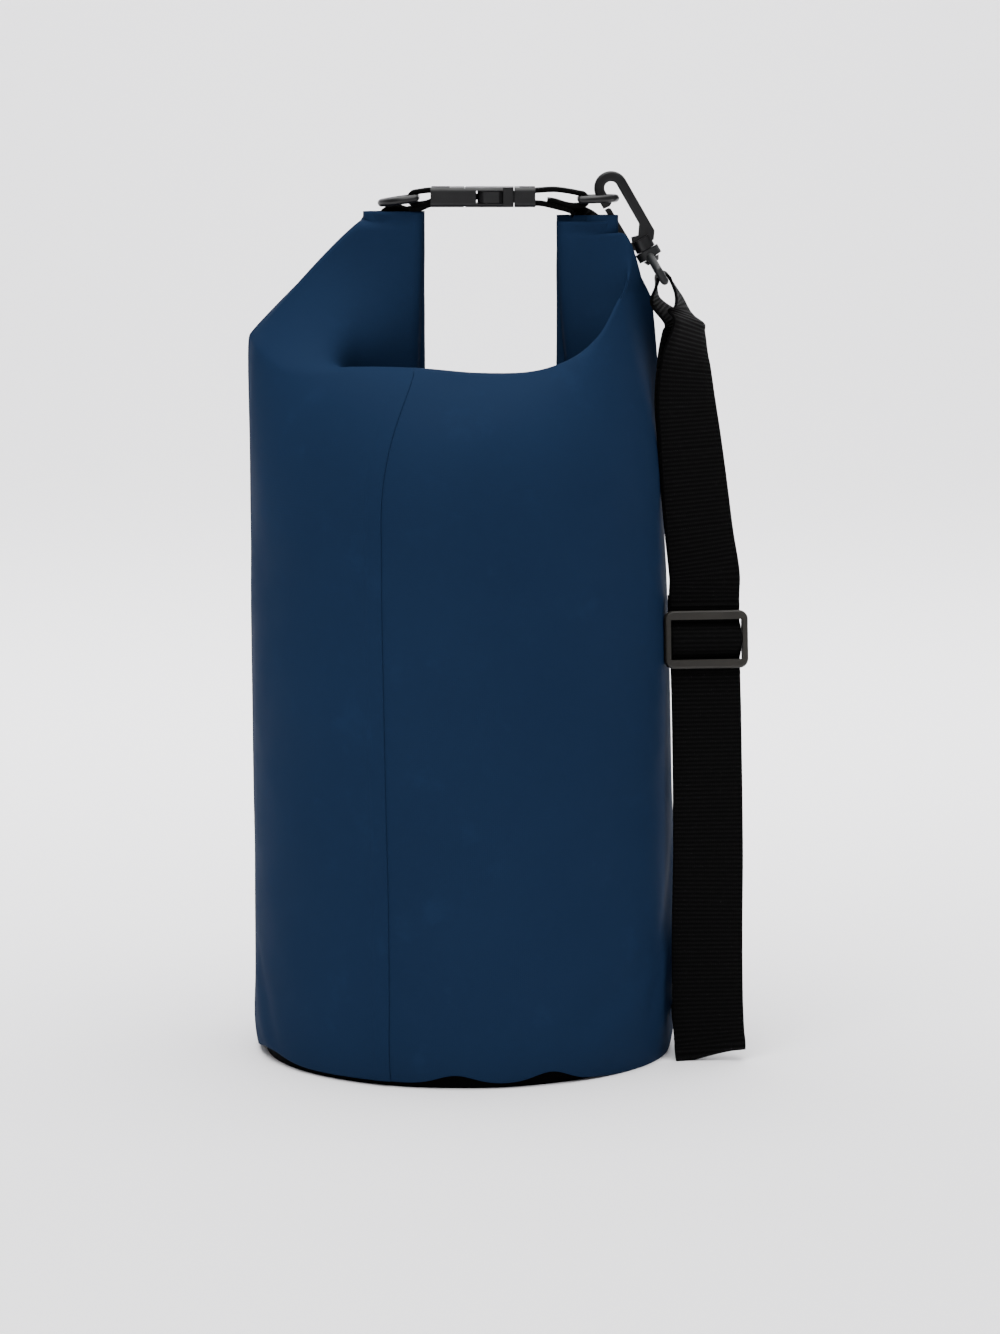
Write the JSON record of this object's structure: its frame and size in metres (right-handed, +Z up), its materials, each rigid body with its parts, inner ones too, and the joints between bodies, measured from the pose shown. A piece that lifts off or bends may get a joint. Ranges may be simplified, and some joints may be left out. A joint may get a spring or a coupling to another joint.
{
  "type": "roll-top rope storage bag",
  "caption": "Upright cylindrical coated-fabric roll-top bag, closed and buckled into a carry handle, with a detachable shoulder strap on swivel hooks.",
  "frame": {"origin": "on the floor under the middle of the round base", "axes": "+Z up along the bag, +X towards the shoulder strap's side, +Y towards the back, where the lower strap anchor is"},
  "size_m": [0.2655, 0.2393, 0.4783],
  "materials": {
    "navy_tarpaulin": "PVC coated, semi-gloss",
    "black_tarpaulin": "PVC coated, semi-gloss",
    "lip_plastic": "flexible strip",
    "lip_webbing": "woven",
    "strap_webbing": "ribbed weave",
    "buckle_plastic": "moulded satin",
    "ring_plastic": "moulded satin",
    "hook_plastic": "moulded satin",
    "swivel_plastic": "moulded satin"
  },
  "bodies": {
    "bag": {"wall_panel": "navy_tarpaulin", "base_panel": "black_tarpaulin", "closure_roll": "navy_tarpaulin", "lip_stiffener_front": "lip_plastic", "lip_stiffener_back": "lip_plastic", "closure_webbing": "lip_webbing", "buckle_socket": "buckle_plastic", "buckle_plug": "buckle_plastic", "shoulder_strap": "strap_webbing", "anchor_tab": "lip_webbing", "anchor_patch": "black_tarpaulin"},
    "arm_front": {"buckle_arm_front": "buckle_plastic"},
    "arm_back": {"buckle_arm_back": "buckle_plastic"},
    "left_ring": {"left_d_ring": "ring_plastic"},
    "right_ring": {"right_d_ring": "ring_plastic"},
    "upper_hook": {"upper_hook_body": "hook_plastic"},
    "upper_gate": {"upper_hook_gate": "hook_plastic"},
    "upper_loop": {"upper_swivel_loop": "swivel_plastic"},
    "slider": {"strap_slider": "hook_plastic"},
    "lower_ring": {"lower_d_ring": "ring_plastic"},
    "lower_hook": {"lower_hook_body": "hook_plastic"},
    "lower_gate": {"lower_hook_gate": "hook_plastic"},
    "lower_loop": {"lower_swivel_loop": "swivel_plastic"}
  },
  "joints": [
    {"name": "buckle_arm_front_squeeze", "type": "hinge", "parent": "bag", "child": "arm_front", "pos_m": [0.0295, -0.0094, 0.4647], "axis": [0, 0, -1], "range_deg": [0, 6], "stiffness_Nm_per_rad": 0.05},
    {"name": "buckle_arm_back_squeeze", "type": "hinge", "parent": "bag", "child": "arm_back", "pos_m": [0.0295, 0.0094, 0.4647], "axis": [0, 0, 1], "range_deg": [0, 6], "stiffness_Nm_per_rad": 0.05},
    {"name": "left_ring_swing", "type": "hinge", "parent": "bag", "child": "left_ring", "pos_m": [-0.0243, 0, 0.464], "axis": [0, 1, 0], "range_deg": [-1, 75]},
    {"name": "right_ring_swing", "type": "hinge", "parent": "bag", "child": "right_ring", "pos_m": [0.064, 0, 0.4633], "axis": [0, 1, 0], "range_deg": [-30, 1], "deforming": ["shoulder_strap"]},
    {"name": "upper_hook_swing", "type": "hinge", "parent": "right_ring", "child": "upper_hook", "pos_m": [0.08219, 0, 0.46393], "axis": [0, 1, 0], "range_deg": [-20, 1], "deforming": ["shoulder_strap"]},
    {"name": "upper_gate_press", "type": "hinge", "parent": "upper_hook", "child": "upper_gate", "pos_m": [0.08882, 0, 0.43988], "axis": [0, 1, 0], "range_deg": [0, 9], "stiffness_Nm_per_rad": 0.05},
    {"name": "upper_swivel_turn", "type": "hinge", "parent": "upper_hook", "child": "upper_loop", "pos_m": [0.0973, 0, 0.439], "axis": [-0.5, 0, 0.866], "range_deg": [-25, 25], "deforming": ["shoulder_strap"]},
    {"name": "strap_slider_slide", "type": "slide", "parent": "bag", "child": "slider", "axis": [-0.0136, 0.0986, 0.995], "range_m": [-0.08, 0.015], "deforming": ["shoulder_strap"]},
    {"name": "lower_ring_swing", "type": "hinge", "parent": "bag", "child": "lower_ring", "pos_m": [0.004, 0.1156, 0.06], "axis": [0, 0, 1], "range_deg": [0, 60], "deforming": ["shoulder_strap"]},
    {"name": "lower_hook_swing", "type": "hinge", "parent": "lower_ring", "child": "lower_hook", "pos_m": [0.02158, 0.12031, 0.06], "axis": [0, 0, 1], "range_deg": [0, 30], "deforming": ["shoulder_strap"]},
    {"name": "lower_gate_press", "type": "hinge", "parent": "lower_hook", "child": "lower_gate", "pos_m": [0.0535, 0.1189, 0.06], "axis": [0, 0, 1], "range_deg": [0, 9], "stiffness_Nm_per_rad": 0.05},
    {"name": "lower_swivel_turn", "type": "hinge", "parent": "lower_hook", "child": "lower_loop", "pos_m": [0.05655, 0.11094, 0.06], "axis": [-0.9659, 0.2588, 0], "range_deg": [-15, 15], "deforming": ["shoulder_strap"]}
  ]
}
